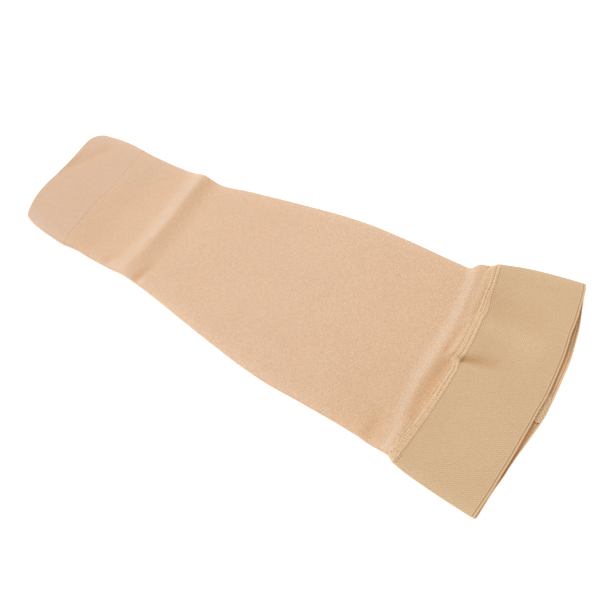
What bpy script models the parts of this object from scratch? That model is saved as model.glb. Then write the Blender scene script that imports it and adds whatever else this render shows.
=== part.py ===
# Compression arm sleeve lying flat on a table, wrist at -X, upper arm at +X.
# A seamless knit tube runs from a doubled wrist welt to a ring of woven elastic,
# whose lower edge lies under the knit and whose free edge stands slightly open.
# Tables and sizes are in millimetres; meshes are made in metres.

import math

import bmesh
import bpy
from mathutils import Matrix

METRES = 0.001

# Driving sizes
OVERALL_LENGTH = 319.0
KNIT_WALL = 1.0
WELT_WALL = 1.4
WELT_TURN = 0.45
WEBBING_WALL = 1.0
SEAM_GAP = 0.3
LAYER_GAP = 0.6

# Stretches along the middle of the sleeve, measured from the wrist end
HEM_COURSE = 37.0
LAP_START = 263.6
LAP_END = 269.4
WEBBING_START = LAP_START + SEAM_GAP
MOUTH_START = 271.0

# Courses over which the form changes: from the welt's thickness to the knit's, as the knit
# climbs onto the webbing, and where the webbing comes down to the table again
HEM_EASE = 12.0
KNIT_RISE = (255.0, 263.0)
WEBBING_DOWN = 283.0

# Overlapped end of the webbing, inside on the lower layer
JOIN_NEAR_Y = -18.0
JOIN_FAR_Y = -0.2
JOIN_WALL = 1.0
JOIN_MARGIN = 1.5
JOIN_EASE = 12.0
JOIN_RISE = (250.0, 262.0)
JOIN_INSET = 1.0

# Grids: points across each layer, steps round each side fold, squares across the join
ACROSS = 16
FOLD_STEPS = 4
JOIN_ACROSS = 5
SHARP_DEGREES = 50.0

# Cross-lines of the cloth: a course of the knit, or a line across the webbing. Each one
# leaves the middle at its course and bends by near_dx and far_dx until it meets the two
# side folds; the power says how late it bends.
CROSS_COLUMNS = ("course", "near_dx", "near_y", "near_power", "far_dx", "far_y", "far_power")
CROSS_LINES = (
    (0.0, 8.2, 35.7, 2.6, 9.0, 41.4, 11.5),
    (5.0, 6.0, 37.1, 2.5, 5.5, 41.7, 8.0),
    (14.0, 4.0, 39.2, 2.0, 3.0, 42.8, 4.0),
    (25.0, 3.0, 41.0, 1.6, 1.0, 43.1, 2.5),
    (37.0, 2.0, 42.3, 1.2, -1.2, 42.1, 1.2),
    (45.0, 1.2, 41.8, 1.3, -0.6, 41.5, 1.3),
    (59.0, 0.0, 42.9, 1.5, 0.0, 41.4, 1.5),
    (80.0, -1.5, 43.9, 1.5, 1.5, 42.0, 1.5),
    (91.0, 0.0, 45.2, 2.0, 0.0, 41.8, 2.0),
    (109.0, 0.0, 49.0, 2.0, 0.0, 45.7, 2.0),
    (129.0, 0.0, 53.8, 2.0, 0.0, 49.8, 2.0),
    (149.0, 0.0, 58.4, 2.0, 0.0, 53.6, 2.0),
    (169.0, 0.0, 62.7, 2.0, 0.0, 56.9, 2.0),
    (189.0, 0.0, 65.6, 2.0, -0.5, 58.4, 2.0),
    (209.0, -0.5, 66.7, 2.0, -1.5, 58.3, 2.0),
    (234.0, -1.5, 68.5, 2.0, -3.0, 57.3, 2.0),
    (245.0, -2.0, 69.7, 2.0, -4.0, 57.0, 2.0),
    (251.5, -3.0, 70.7, 2.0, -5.0, 56.8, 2.0),
    (257.0, -3.7, 71.1, 2.0, -6.0, 60.8, 2.0),
    (263.6, -4.5, 71.6, 2.0, -7.5, 63.7, 2.0),
    (269.4, -4.2, 74.6, 2.4, -8.7, 67.6, 1.8),
    (284.0, -5.5, 77.4, 1.9, -9.5, 72.6, 2.0),
    (299.0, -6.4, 79.8, 1.8, -10.8, 75.5, 2.0),
    (319.0, -7.5, 81.8, 1.4, -13.2, 77.6, 2.0),
)

# The wrist end runs in a shallow wave: it dips towards the sleeve beside its middle.
WAVE_DEPTH = 1.7
WAVE_Y = 8.0
WAVE_HALF_SPAN = 27.0
WAVE_REACH = 24.0

# Soft folds across the sleeve. The crest's course is given at shares of the way from the
# near side fold, at -1, to the far one, at 1. Arch is how far the underside leaves the table
# there, and crown is how much more the upper layer rises.
FOLD_COLUMNS = ("name", "crest", "before", "after", "near_arch", "mid_arch", "far_arch", "crown")
FOLDS = (
    ("cuff_ridge", ((-1.0, 82.8), (0.0, 81.8), (1.0, 78.2)), 8.0, 14.0, 1.2, 1.4, 2.3, 1.0),
    (
        "seam_fold",
        ((-1.0, 264.5), (-0.87, 261.8), (-0.59, 257.4), (-0.3, 255.5), (0.3, 256.5), (1.0, 256.0)),
        6.0, 9.0, 0.9, 0.7, 2.1, 1.1,
    ),
)
CREST_ROUND = 2.2

# Along the mouth: how far the upper layer's edge stands back, and how far the layers part.
MOUTH_COLUMNS = ("y", "setback", "gape")
MOUTH = (
    (-78.0, 0.0, 0.0),
    (-62.0, 0.3, 0.2),
    (-54.0, 0.7, 0.5),
    (-47.0, 0.9, 0.6),
    (-38.0, 1.4, 0.4),
    (-32.0, 1.9, 0.0),
    (-22.0, 2.8, 0.0),
    (-12.0, 3.6, 0.0),
    (13.0, 3.6, 0.0),
    (28.0, 3.4, 0.4),
    (40.0, 3.4, 1.5),
    (48.0, 2.6, 1.3),
    (58.0, 1.6, 0.6),
    (68.0, 0.6, 0.0),
    (75.0, 0.0, 0.0),
)
MOUTH_GROWTH = 1.4  # power of the share of the way from MOUTH_START to the free edge

KNIT_STATIONS = (
    HEM_COURSE + SEAM_GAP, 40.0, 44.0, 49.0, 59.0, 68.0, 72.0, 75.0, 78.0, 80.5, 83.0, 86.0,
    90.0, 96.0, 106.0, 119.0, 134.0, 149.0, 164.0, 179.0, 194.0, 209.0, 224.0, 235.0, 240.0,
    243.5, 246.5, 249.0, 251.5, 254.0, 256.5, 259.0, 261.5, LAP_START, 266.5, LAP_END,
)
WELT_STATIONS = (0.0, 0.8, 4.0, 9.0, 15.0, 22.0, 30.0, HEM_COURSE)
WEBBING_STATIONS = (
    WEBBING_START, 266.6, LAP_END + SEAM_GAP, 273.0, 277.0, 283.0, 290.0, 297.0, 304.0, 310.0,
    315.0, OVERALL_LENGTH,
)

COLOURS = {
    "arm_tube": (0.745, 0.503, 0.328),
    "wrist_welt": (0.738, 0.515, 0.361),
    "top_band": (0.651, 0.445, 0.264),
    "band_join": (0.690, 0.490, 0.310),
}
CLOTH_ROUGHNESS = 0.9


def column(rows, columns, name):
    return [row[columns.index(name)] for row in rows]


def rows_of(rows, columns):
    return [dict(zip(columns, row)) for row in rows]


def ease(value, low, high):
    """0 below low, 1 above high, with a smooth rise between them."""
    share = min(max((value - low) / (high - low), 0.0), 1.0)
    return share * share * (3.0 - 2.0 * share)


def between(places, values, at):
    """A smooth curve through a short table that never overshoots its rows."""
    if at <= places[0]:
        return values[0]
    if at >= places[-1]:
        return values[-1]
    slopes = [
        (values[i + 1] - values[i]) / (places[i + 1] - places[i]) for i in range(len(places) - 1)
    ]
    tangents = [slopes[0]]
    for before, after in zip(slopes, slopes[1:]):
        level = before * after <= 0.0
        tangents.append(0.0 if level else 2.0 * before * after / (before + after))
    tangents.append(slopes[-1])
    i = max(k for k in range(len(places) - 1) if places[k] <= at)
    span = places[i + 1] - places[i]
    t = (at - places[i]) / span
    return (
        values[i] * (2 * t**3 - 3 * t**2 + 1)
        + values[i + 1] * (3 * t**2 - 2 * t**3)
        + span * tangents[i] * (t**3 - 2 * t**2 + t)
        + span * tangents[i + 1] * (t**3 - t**2)
    )


def cross_line(course):
    courses = column(CROSS_LINES, CROSS_COLUMNS, "course")
    return {
        name: between(courses, column(CROSS_LINES, CROSS_COLUMNS, name), course)
        for name in CROSS_COLUMNS[1:]
    }


def across_share(line, y):
    """-1 at the near side fold, 0 in the middle, 1 at the far one."""
    return max(y / line["near_y"], -1.0) if y < 0.0 else min(y / line["far_y"], 1.0)


def line_x(course, line, y):
    share = across_share(line, y)
    side = "near" if share < 0.0 else "far"
    bend = line[side + "_dx"] * abs(share) ** line[side + "_power"]
    away = min(abs(y - WAVE_Y) / WAVE_HALF_SPAN, 1.0)
    dip = WAVE_DEPTH * (0.5 + 0.5 * math.cos(math.pi * away)) * (1.0 - ease(course, 0.0, WAVE_REACH))
    return course - OVERALL_LENGTH / 2 + bend + dip


def fold_heights(course, share):
    """How far all the folds lift the underside, and how much more the upper layer."""
    arch = 0.0
    crown = 0.0
    for fold in rows_of(FOLDS, FOLD_COLUMNS):
        toward_side = share * share
        side_arch = fold["near_arch"] if share < 0.0 else fold["far_arch"]
        crest = between(*zip(*fold["crest"]), share)
        lift = fold["mid_arch"] + (side_arch - fold["mid_arch"]) * toward_side
        reach = fold["before"] if course < crest else fold["after"]
        away = math.hypot(course - crest, CREST_ROUND) - CREST_ROUND
        swell = max(1.0 - away / reach, 0.0) ** 2
        arch += lift * swell
        crown += fold["crown"] * swell * (1.0 - toward_side)
    return arch, crown


def knit_proud(course):
    """How far the knit stands outside the webbing's own surface as it climbs over it."""
    return (KNIT_WALL + SEAM_GAP) * ease(course, *KNIT_RISE)


def webbing_lift(course):
    """The webbing's underside is off the table beside the lap, by the knit below it."""
    return knit_proud(course) * (1.0 - ease(course, LAP_END, WEBBING_DOWN))


def closed_thickness(course):
    """Both layers and the gap between them, away from folds and mouth."""
    welt = 2.0 * WELT_WALL + LAYER_GAP
    knit = 2.0 * KNIT_WALL + LAYER_GAP
    webbing = 2.0 * WEBBING_WALL + LAYER_GAP
    body = welt + (knit - welt) * ease(course, HEM_COURSE, HEM_COURSE + HEM_EASE)
    return body + (webbing - knit) * ease(course, *KNIT_RISE)


def mouth_part(course, y, name):
    """The mouth's setback or gape, growing from nothing to its own at the free edge."""
    along = max(course - MOUTH_START, 0.0) / (OVERALL_LENGTH - MOUTH_START)
    ys = column(MOUTH, MOUTH_COLUMNS, "y")
    return along**MOUTH_GROWTH * between(ys, column(MOUTH, MOUTH_COLUMNS, name), y)


def join_room(course, y):
    """Extra gap where the upper layer rides over the overlapped end of the webbing."""
    room = JOIN_WALL + 2.0 * SEAM_GAP - LAYER_GAP
    near_edge = JOIN_NEAR_Y - JOIN_MARGIN
    far_edge = JOIN_FAR_Y + JOIN_MARGIN
    near = ease(y, near_edge - JOIN_EASE, near_edge)
    far = 1.0 - ease(y, far_edge, far_edge + JOIN_EASE)
    return room * near * far * ease(course, *JOIN_RISE)


def underside(course, line, y):
    return fold_heights(course, across_share(line, y))[0] + webbing_lift(course)


def upper_side(course, line, y):
    arch, crown = fold_heights(course, across_share(line, y))
    closed = arch + webbing_lift(course) + closed_thickness(course) + crown
    return closed + max(mouth_part(course, y, "gape"), join_room(course, y))


def crowded_to_ends(count):
    """Shares from 0 to 1 that stand closer together towards both ends."""
    even = [i / (count - 1) for i in range(count)]
    return [(share + 0.5 - 0.5 * math.cos(math.pi * share)) / 2.0 for share in even]


def ring(course, outset):
    """One loop round the flat tube, outset from its form: over the top, then back below."""
    line = cross_line(course)
    points = []
    side_folds = {}
    for side, sign in (("near", -1.0), ("far", 1.0)):
        edge = sign * line[side + "_y"]
        low = underside(course, line, edge)
        high = upper_side(course, line, edge)
        radius = (high - low) / 2.0
        side_folds[side] = (edge - sign * radius, low + radius, radius + outset)
    near_y = side_folds["near"][0]
    far_y = side_folds["far"][0]
    rows = [near_y + (far_y - near_y) * share for share in crowded_to_ends(ACROSS)]

    def fold_points(side, sign, start, stop):
        centre_y, centre_z, radius = side_folds[side]
        for i in range(1, FOLD_STEPS):
            turn = start + (stop - start) * i / FOLD_STEPS
            y = centre_y + sign * radius * math.cos(turn)
            points.append((line_x(course, line, y), y, centre_z + radius * math.sin(turn)))

    for y in rows:
        x = line_x(course, line, y) - mouth_part(course, y, "setback")
        points.append((x, y, upper_side(course, line, y) + outset))
    fold_points("far", 1.0, math.pi / 2, -math.pi / 2)
    for y in reversed(rows):
        points.append((line_x(course, line, y), y, underside(course, line, y) - outset))
    fold_points("near", -1.0, -math.pi / 2, math.pi / 2)
    return points


def cloth_material(name):
    material = bpy.data.materials.new(name)
    material.use_nodes = True
    shader = material.node_tree.nodes["Principled BSDF"]
    shader.inputs["Base Color"].default_value = (*COLOURS[name], 1.0)
    shader.inputs["Roughness"].default_value = CLOTH_ROUGHNESS
    shader.inputs["Metallic"].default_value = 0.0
    return material


def add_piece(name, shape):
    bmesh.ops.scale(shape, vec=(METRES, METRES, METRES), verts=shape.verts)
    bmesh.ops.recalc_face_normals(shape, faces=shape.faces)
    mesh = bpy.data.meshes.new(name)
    shape.to_mesh(mesh)
    shape.free()
    mesh.shade_smooth()
    mesh.set_sharp_from_angle(angle=math.radians(SHARP_DEGREES))
    mesh.materials.append(cloth_material(name))
    piece = bpy.data.objects.new(name, mesh)
    bpy.context.scene.collection.objects.link(piece)
    return piece


def skin(shape, first, second):
    """Quads between two closed loops of points."""
    count = len(first)
    for i in range(count):
        after = (i + 1) % count
        shape.faces.new((first[i], first[after], second[after], second[i]))


def tube_of_cloth(name, stations):
    """A flat tube with open ends. Each station is its course, outer and inner outset."""
    shape = bmesh.new()
    outer = []
    inner = []
    for course, out, into in stations:
        outer.append([shape.verts.new(point) for point in ring(course, out)])
        inner.append([shape.verts.new(point) for point in ring(course, into)])
    for i in range(len(stations) - 1):
        skin(shape, outer[i], outer[i + 1])
        skin(shape, inner[i + 1], inner[i])
    skin(shape, inner[0], outer[0])
    skin(shape, outer[-1], inner[-1])
    return add_piece(name, shape)


def make_arm_tube():
    stations = []
    for course in KNIT_STATIONS:
        proud = knit_proud(course)
        stations.append((course, proud, proud - KNIT_WALL))
    return tube_of_cloth("arm_tube", stations)


def make_wrist_welt():
    """The end is a turned edge, so its two corners are eased."""
    stations = [(WELT_STATIONS[0], -WELT_TURN, WELT_TURN - WELT_WALL)]
    stations += [(course, 0.0, -WELT_WALL) for course in WELT_STATIONS[1:]]
    return tube_of_cloth("wrist_welt", stations)


def make_top_band():
    return tube_of_cloth("top_band", [(c, 0.0, -WEBBING_WALL) for c in WEBBING_STATIONS])


def make_band_join():
    """A plate on the lower layer's inner face, made from that layer's own points."""
    shape = bmesh.new()
    sheets = []
    courses = [WEBBING_START + JOIN_INSET, *WEBBING_STATIONS[1:-1], OVERALL_LENGTH - JOIN_INSET]
    for rise in (SEAM_GAP, SEAM_GAP + JOIN_WALL):
        rows = []
        for course in courses:
            line = cross_line(course)
            row = []
            for i in range(JOIN_ACROSS + 1):
                y = JOIN_NEAR_Y + (JOIN_FAR_Y - JOIN_NEAR_Y) * i / JOIN_ACROSS
                height = underside(course, line, y) + WEBBING_WALL + rise
                row.append(shape.verts.new((line_x(course, line, y), y, height)))
            rows.append(row)
        sheets.append(rows)
    low, high = sheets
    for i in range(len(courses) - 1):
        for j in range(JOIN_ACROSS):
            for rows in (low, high):
                shape.faces.new((rows[i][j], rows[i][j + 1], rows[i + 1][j + 1], rows[i + 1][j]))
    low_rim = rim(low)
    high_rim = rim(high)
    skin(shape, low_rim, high_rim)
    return add_piece("band_join", shape)


def rim(rows):
    """The points round the edge of a grid, in order."""
    right = [row[-1] for row in rows[1:]]
    left = [row[0] for row in rows[1:-1]]
    return rows[0] + right + rows[-1][-2::-1] + left[::-1]


def centre_over_origin(pieces):
    """Moves the sleeve so that the origin is below the middle of its box."""
    points = [point.co for piece in pieces for point in piece.data.vertices]
    middle = [(min(p[axis] for p in points) + max(p[axis] for p in points)) / 2 for axis in (0, 1)]
    for piece in pieces:
        piece.data.transform(Matrix.Translation((-middle[0], -middle[1], 0.0)))


def main():
    for old in list(bpy.data.objects):
        bpy.data.objects.remove(old)
    pieces = [make_wrist_welt(), make_arm_tube(), make_top_band(), make_band_join()]
    centre_over_origin(pieces)


main()
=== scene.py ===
# Looks of a compression arm sleeve that lies flat on a table, wrist at -X. A seamless knit
# tube runs from a doubled wrist welt to a ring of woven elastic, which it laps and is sewn to.
# Sizes are in millimetres, and meshes are made in metres.
import math

import bmesh
import bpy
import numpy as np
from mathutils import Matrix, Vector


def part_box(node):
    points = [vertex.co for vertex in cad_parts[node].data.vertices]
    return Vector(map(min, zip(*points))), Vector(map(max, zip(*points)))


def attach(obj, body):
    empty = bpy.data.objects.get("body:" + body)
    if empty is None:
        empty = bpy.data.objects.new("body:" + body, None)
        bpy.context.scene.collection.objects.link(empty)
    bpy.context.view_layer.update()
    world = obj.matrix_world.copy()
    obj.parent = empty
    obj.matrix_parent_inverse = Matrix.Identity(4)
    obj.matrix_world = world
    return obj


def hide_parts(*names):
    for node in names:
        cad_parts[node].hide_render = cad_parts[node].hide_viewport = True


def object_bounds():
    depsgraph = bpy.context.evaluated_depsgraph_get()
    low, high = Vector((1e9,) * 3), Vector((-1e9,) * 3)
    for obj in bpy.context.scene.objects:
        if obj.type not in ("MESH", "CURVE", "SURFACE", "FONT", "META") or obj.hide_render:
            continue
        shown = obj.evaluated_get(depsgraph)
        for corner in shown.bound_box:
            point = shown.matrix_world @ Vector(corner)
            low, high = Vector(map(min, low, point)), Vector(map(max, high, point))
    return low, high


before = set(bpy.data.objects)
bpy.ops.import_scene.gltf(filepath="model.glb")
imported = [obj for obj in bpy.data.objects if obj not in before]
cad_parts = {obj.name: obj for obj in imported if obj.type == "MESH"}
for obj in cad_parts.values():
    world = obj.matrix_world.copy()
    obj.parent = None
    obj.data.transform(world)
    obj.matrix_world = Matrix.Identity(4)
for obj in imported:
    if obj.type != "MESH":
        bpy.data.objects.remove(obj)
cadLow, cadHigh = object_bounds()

mm = 0.001

sleeve = {
    "length": 319.0,  # wrist end to mouth, along the middle
    "hem": 37.0,  # where the welt ends
    "hemEase": 20.0,  # the doubled cloth's thickness runs out over this
    "lapStart": 263.6,  # the knit lies over the webbing from here
    "lapEnd": 269.4,
    "webbingInset": 0.3,  # the webbing starts this far inside the lap
    "lapTaper": 0.5,  # the knit's edge is pressed thin over this
    "lapEdge": 0.08,
    "knitWall": 1.0,
    "pressedWall": 0.28,  # the knit where it is sewn down
    "weltWall": 1.4,
    "webbingWall": 1.0,
    "seamGap": 0.03,
    "layerGap": 0.6,
    "shoulder": 0.35,  # how far the top falls towards the side folds
    "shoulderReach": 3.5,
    "mouthStart": 271.0,  # the webbing's layers part from here on
    "mouthPower": 1.4,
    "mouthCornerY": 77.6,  # the free edge's far corner
}

# Lines across the cloth. Each leaves the middle at its course and bends by nearDx and farDx
# until it meets the side folds; the power says how late it bends.
crossColumns = ("course", "nearDx", "nearY", "nearPower", "farDx", "farY", "farPower")
crossLines = (
    (0, 7.6, 35.7, 2.2, 9, 41.4, 10.5),
    (5, 5.8, 37.1, 2.5, 5.5, 41.7, 8),
    (14, 4, 39.2, 2, 3, 42.8, 4),
    (25, 3, 41, 1.6, 1, 43.1, 2.5),
    (37, 2, 42.3, 1.2, -1.2, 42.1, 1.2),
    (45, 1.2, 41.8, 1.3, -0.6, 41.5, 1.3),
    (59, 0, 42.9, 1.5, 0, 41.4, 1.5),
    (80, -1.5, 43.9, 1.5, 1.5, 42, 1.5),
    (91, 0, 45.2, 2, 0, 41.8, 2),
    (109, 0, 49, 2, 0, 45.7, 2),
    (129, 0, 53.8, 2, 0, 49.8, 2),
    (149, 0, 58.4, 2, 0, 53.6, 2),
    (169, 0, 62.7, 2, 0, 56.9, 2),
    (189, 0, 65.6, 2, -0.5, 58.4, 2),
    (209, -0.5, 66.7, 2, -1.5, 58.3, 2),
    (234, -1.5, 68.5, 2, -3, 57.3, 2),
    (245, -2, 69.7, 2, -4, 57, 2),
    (251.5, -3, 70.7, 2, -5, 56.8, 2),
    (254, -3.3, 70.9, 2, -5.4, 59.4, 2),
    (257, -3.7, 71.1, 2, -6, 61.2, 2),
    (263.6, -4.5, 71.6, 2, -7.5, 62.9, 2),
    (266.5, -4.3, 73.1, 2.4, -8.2, 65.5, 1.8),
    (270, -3.9, 75, 2.7, -8.9, 67.4, 1.6),
    (284, -5.5, 77.4, 1.9, -9.5, 72.9, 2),
    (299, -6.3, 79.6, 1.6, -10.8, 76.1, 2),
    (319, -7.4, 81.9, 1.2, -13.1, 78.9, 1.9),
)

# The wrist end runs in a shallow wave beside its middle.
wristWave = {"depth": 2.2, "centre": 8.0, "halfSpan": 36.0, "reach": 24.0}

# Along the mouth: how far the upper and the lower edge stand back, and how far the two part.
mouthColumns = ("y", "setback", "lowerSetback", "gape")
mouthTable = (
    (-76, 0, -0.5, -0.2),
    (-65, 0.1, 0, 0),
    (-60, 0.3, 0.1, 0.2),
    (-52, 0.7, -0.1, 0.5),
    (-45, 0.9, 0.1, 0.6),
    (-36, 1.4, 0, 0.4),
    (-30, 1.9, -0.3, 0),
    (-20, 2.8, -0.2, -0.1),
    (-10, 3.6, -0.2, -0.1),
    (0, 3.4, 0.2, -0.1),
    (15, 3.6, 0.3, -0.3),
    (30, 3.4, -0.1, 0.4),
    (42, 3.4, 0, 1.5),
    (50, 2.6, -0.1, 1.3),
    (60, 1.6, 0.2, 0.6),
    (65, 1.2, 0.4, 0.2),
    (70, 0.6, 0.4, -0.1),
    (77, 0, 0, -0.2),
)

# The webbing's overlapped ends: their place, the room that the upper layer leaves over them,
# and how far they push the free edges out.
join = {
    "near": -18.0,
    "far": -0.2,
    "wall": 0.7,
    "clearance": 0.1,
    "room": 0.45,
    "roomMargin": 1.5,
    "roomEase": 14.0,
    "roomRise": (250.0, 262.0),
    "bulge": 0.6,
    "bulgeY": -13.0,
    "bulgeHalfSpan": 20.0,
    "bulgeStart": 300.0,
    "step": 1.3,
    "fromLap": 1.3,
    "fromEdge": 0.5,
    "edgeRadius": 0.25,
}

# Soft folds right across the sleeve: arch lifts both layers, crown only the upper one. The
# crest's course wanders on its way from the near side fold (-1) to the far one (1), and it
# falls away over a longer stretch on one half than on the other.
foldColumns = (
    "name", "crest", "before", "afterNear", "afterFar", "nearArch", "midArch", "farArch", "crown",
)
folds = (
    ("cuffRidge", ((-1, 81.8), (-0.5, 82.2), (0, 81.8), (0.5, 79.8), (1, 78.2)),
     9, 12.5, 12.5, 1.2, 1.2, 2.3, 0.8),
    ("seamFold", ((-1, 266), (-0.87, 263), (-0.59, 258.6), (-0.3, 256.2), (0.05, 256.1),
                  (0.3, 256.6), (0.6, 256.4), (1, 256)),
     6, 10, 40, 0.6, 0.7, 2.1, 1.1),
)
crestRound = 2.2  # radius along the cloth over which a fold's crest turns
foldTurns = (-0.12, 0.1)  # between these shares its far slope takes over from its near one

# Soft creases: a line from start to end in the plan, and its lift and half width
# at both. A negative lift is a trough. Tint says how strongly painted shade darkens a trough
# by its depth, and how strongly painted light lightens a swell.
# Places are from the middle of the sleeve's box.
creaseColumns = (
    "name", "startX", "startY", "endX", "endY",
    "startLift", "endLift", "startWidth", "endWidth", "tint",
)
upperCreases = (
    ("wristHollow", -153.5, 11, -142.5, 34, -0.4, -0.35, 3.6, 3.8, 1.2),
    ("weltCorner", -150, -33, -136, -32, 0.2, 0.05, 6, 6, 2.5),
    ("cuffSwell", -117, 20, -110, 34, 0.12, 0.15, 8, 8, 3),
    ("wristLip", -158, 5, -156, 26, 0.35, 0.3, 2.2, 2, 0),
    ("cuffLine", -134.9, 37.3, -132.6, 27.9, -0.15, -0.05, 0.9, 0.9, 2),
    ("cuffDent", -91, -38, -88, -31, -0.6, -0.1, 3, 3, 0.3),
    ("ridgeTrough", -69.5, -41.5, -66, -26, -0.8, -0.1, 2.4, 3, 0.6),
    ("nearShade", 72, -64, 86, -60, -0.1, -0.1, 9, 9, 2.4),
    ("nearTrough", 89, -72, 87.5, -50, -1, -0.4, 4.5, 3.6, 0.6),
    ("valleyNear", 101.6, -46, 103.2, -6, -0.42, -0.75, 3, 3, 1.6),
    ("valleyMid", 100.2, 0, 101.4, 19, -0.45, -0.38, 2, 1.8, 1.3),
    ("valleyFar", 102.1, 29, 101.1, 38, -0.35, -0.25, 1.6, 1.5, 1.6),
    ("farNotch", 95.8, 66, 95.4, 58, -0.9, -0.1, 0.9, 0.9, 1),
    ("kinkPocket", 103.2, -1.4, 109.3, -1.6, -0.4, -0.6, 0.9, 1.1, 1.8),
    ("pucker", 109.5, -0.5, 131, 8.5, -1, -0.06, 1.7, 6, 2.2),
    ("puckerWedge", 111, -4, 128, -11, -0.2, -0.05, 1.8, 5, 0.9),
    ("bandStreak", 115, 26, 138, 24, 0.35, 0.25, 4.5, 8, 3.8),
    ("bandHollow", 109, 44, 132, 42, -0.3, -0.2, 6, 9, 1.6),
    ("slub", 118.4, 12.8, 118.7, 12.9, -0.15, -0.15, 0.5, 0.5, 5),
)
lowerCreases = (
    ("wristHollowBelow", -150, -20, -132, 6, 0.5, 0.2, 5, 7, 0),
    ("puckerBelow", 109.5, 20, 124, 30, 0.6, 0.1, 2, 5, 0),
)

# Relief that runs along the lap and along the free edge, all round.
reliefColumns = ("name", "course", "lift", "halfWidth")
lapRelief = (
    ("lapFold", 263.6, -0.06, 0.2),
    ("threadRow", 266.2, 0.06, 0.4),
    ("slotRow", 267.1, -0.08, 0.45),
)
selvedgeRelief = (
    ("selvedgeCrest", 317, 0.03, 0.35),
    ("selvedgeGroove", 317.8, -0.36, 0.32),
    ("selvedgeRib", 318.6, 0.06, 0.3),
)

# The seam steps towards the wrist beside its pucker and swells where one pass of stitches
# ends, and the hem steps along its near half.
shiftColumns = ("name", "course", "nearY", "farY", "soft", "before", "after", "step")
shifts = (
    ("seamKink", 269.4, -4.5, -4.5, 6, 14, 10, -1.2),
    ("passEnd", 269.6, 31.5, 35.5, 6, 5, 8, 0.9),
    ("lapNear", 264.5, -80, -10, 5, 7, 4.5, 0.7),
    ("hemStep", 37, -35.5, -3.5, 5, 14, 14, -1),
)


def rowsOf(columns, table):
    return [dict(zip(columns, row)) for row in table]


def ease(value, low, high):
    share = np.clip((value - low) / (high - low), 0.0, 1.0)
    return share * share * (3.0 - 2.0 * share)


def hump(value):  # 1 at zero and 0 beyond one, with a smooth foot
    return 0.5 + 0.5 * np.cos(np.pi * np.minimum(np.abs(value), 1.0))


def smoothThrough(places, values, at):  # a curve through the points that never overshoots
    slopes = np.diff(values) / np.diff(places)
    product = slopes[:-1] * slopes[1:]
    total = np.where(product > 0.0, slopes[:-1] + slopes[1:], 1.0)
    inner = np.where(product > 0.0, 2.0 * product / total, 0.0)
    tangents = np.concatenate(([slopes[0]], inner, [slopes[-1]]))
    at = np.clip(at, places[0], places[-1])
    i = np.clip(np.searchsorted(places, at, side="right") - 1, 0, len(places) - 2)
    span = places[i + 1] - places[i]
    t = (at - places[i]) / span
    return (
        values[i] * (2 * t**3 - 3 * t**2 + 1)
        + values[i + 1] * (3 * t**2 - 2 * t**3)
        + span * tangents[i] * (t**3 - 2 * t**2 + t)
        + span * tangents[i + 1] * (t**3 - t**2)
    )


def readTable(columns, table, name, at):  # one column at any place in the table's first one
    numbers = np.array(table).T
    return smoothThrough(numbers[0], numbers[columns.index(name)], at)


def crossLine(course):
    return {name: readTable(crossColumns, crossLines, name, course) for name in crossColumns[1:]}


# How far places in the design lie from the same places in the frame: both have the webbing's
# free edge and its far corner.
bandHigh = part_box("top_band")[1]
toFrameX = bandHigh.x / mm - sleeve["length"] / 2
toFrameY = bandHigh.y / mm - sleeve["mouthCornerY"]


def acrossShare(line, y):  # -1 at the near side fold, 1 at the far one
    return np.clip(np.where(y < 0.0, y / line["nearY"], y / line["farY"]), -1.0, 1.0)


def lineX(course, line, y):
    share = acrossShare(line, y)
    far = share > 0.0
    dx = np.where(far, line["farDx"], line["nearDx"])
    power = np.where(far, line["farPower"], line["nearPower"])
    dip = wristWave["depth"] * hump((y - wristWave["centre"]) / wristWave["halfSpan"])
    dip = dip * (1.0 - ease(course, 0.0, wristWave["reach"]))
    return course - sleeve["length"] / 2 + dx * np.abs(share) ** power + dip


def foldHeights(course, share):
    arch = np.zeros_like(course)
    crown = np.zeros_like(course)
    near = share < 0.0
    toSide = share * share
    for fold in rowsOf(foldColumns, folds):
        sideArch = np.where(near, fold["nearArch"], fold["farArch"])
        crest = smoothThrough(*np.array(fold["crest"]).T, share)
        lift = fold["midArch"] + (sideArch - fold["midArch"]) * toSide
        after = fold["afterNear"] + (fold["afterFar"] - fold["afterNear"]) * ease(share, *foldTurns)
        reach = np.where(course < crest, fold["before"], after)
        away = np.sqrt((course - crest) ** 2 + crestRound**2) - crestRound
        swell = np.maximum(1.0 - away / reach, 0.0) ** 2  # steepest beside its crest
        arch = arch + lift * swell
        crown = crown + fold["crown"] * swell * (1.0 - toSide)
    return arch, crown


knitRise = (258.5, 263.4)  # the knit climbs onto the webbing over these courses
webbingDrop = 283.0


def knitProud(course):  # how far the knit stands outside the webbing's own surface
    return (sleeve["pressedWall"] + sleeve["seamGap"]) * ease(course, *knitRise)


def knitWall(course):
    return sleeve["knitWall"] + (sleeve["pressedWall"] - sleeve["knitWall"]) * ease(course, *knitRise)


def knitThinned(course):
    start = sleeve["lapEnd"] - sleeve["lapTaper"]
    return (sleeve["pressedWall"] - sleeve["lapEdge"]) * ease(course, start, sleeve["lapEnd"])


def webbingLift(course):
    return knitProud(course) * (1.0 - ease(course, sleeve["lapEnd"], webbingDrop))


def closedThickness(course):
    walls = (sleeve[name] for name in ("weltWall", "knitWall", "webbingWall"))
    welt, knit, webbing = (2.0 * wall + sleeve["layerGap"] for wall in walls)
    body = welt + (knit - welt) * ease(course, sleeve["hem"], sleeve["hem"] + sleeve["hemEase"])
    return body + (webbing - knit) * ease(course, *knitRise)


def mouthPart(course, y, name):  # setback or gape, growing towards the free edge
    reach = sleeve["length"] - sleeve["mouthStart"]
    along = np.maximum(course - sleeve["mouthStart"], 0.0) / reach
    return along ** sleeve["mouthPower"] * readTable(mouthColumns, mouthTable, name, y + toFrameY)


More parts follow.
